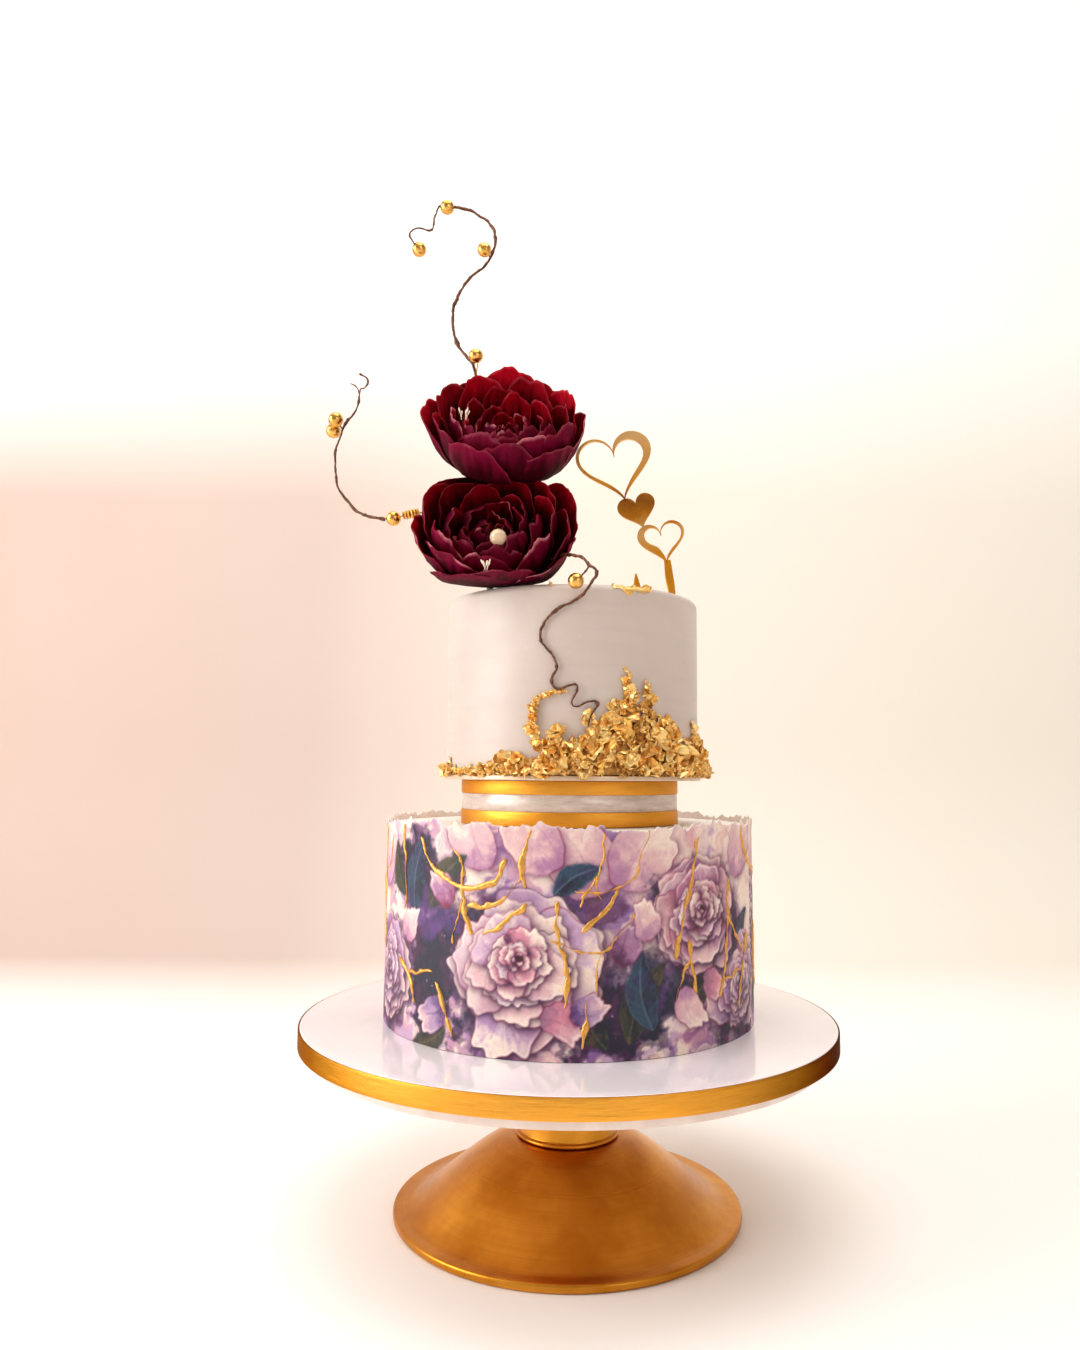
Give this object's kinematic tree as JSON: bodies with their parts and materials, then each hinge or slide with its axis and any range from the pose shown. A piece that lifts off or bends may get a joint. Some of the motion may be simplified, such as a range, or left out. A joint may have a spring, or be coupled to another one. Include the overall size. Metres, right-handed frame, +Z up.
{
  "type": "tiered wedding cake on a pedestal",
  "caption": "Two-tier iced cake on its round pedestal, with a printed torn-edge paper wrap, ribboned spacer, gold leaf flakes, silk peonies, beaded twigs and a flat gold ornament.",
  "frame": {"origin": "on the pedestal's axis, at the bottom of its foot", "axes": "+Z up, -Y the front where the peonies face, +X to the right as seen from the front"},
  "size_m": [0.3256, 0.3256, 0.6403],
  "materials": {
    "spun_gold": "spun satin gold",
    "gloss_white": "laminated gloss",
    "gold_ribbon": "metallic satin ribbon",
    "white_icing": "matte sugar icing",
    "mauve_icing": "smooth satin icing",
    "printed_paper": "watercolour print with raised gold veins",
    "pale_satin": "pale satin",
    "leaf_gold": "crumpled leaf gold",
    "crimson_silk": "matte silk",
    "stem_tape": "crepe tape",
    "pearl": "pearl lustre",
    "brown_twig": "rough bark",
    "gold_bead": "metallic satin",
    "gold_mirror": "gold mirror"
  },
  "bodies": {
    "root": {"stand_foot": "spun_gold", "stand_collar": "spun_gold", "stand_plate": "gloss_white", "cake_board": "gloss_white", "board_ribbon": "gold_ribbon", "lower_tier": "white_icing", "paper_wrap": "printed_paper", "spacer_drum": "pale_satin", "spacer_band_low": "gold_ribbon", "spacer_band_high": "gold_ribbon", "upper_board": "pale_satin", "upper_tier": "mauve_icing", "flakes_main": "leaf_gold", "flakes_left": "leaf_gold", "flakes_back": "leaf_gold", "flakes_curl": "leaf_gold", "flakes_edge": "leaf_gold", "peony_upper": "crimson_silk", "peony_lower": "crimson_silk", "stem_upper": "stem_tape", "stem_lower": "stem_tape", "pearl": "pearl", "twig_top": "brown_twig", "twig_top_end": "brown_twig", "twig_left": "brown_twig", "twig_front": "brown_twig", "bead_top_high": "gold_bead", "bead_top_tip": "gold_bead", "bead_top_side": "gold_bead", "bead_top_root": "gold_bead", "bead_ribbed": "gold_bead", "bead_left": "gold_bead", "bead_left_pair_high": "gold_bead", "bead_left_pair_low": "gold_bead", "bead_front": "gold_bead", "topper": "gold_mirror", "topper_tab": "gold_mirror"}
  },
  "joints": []
}
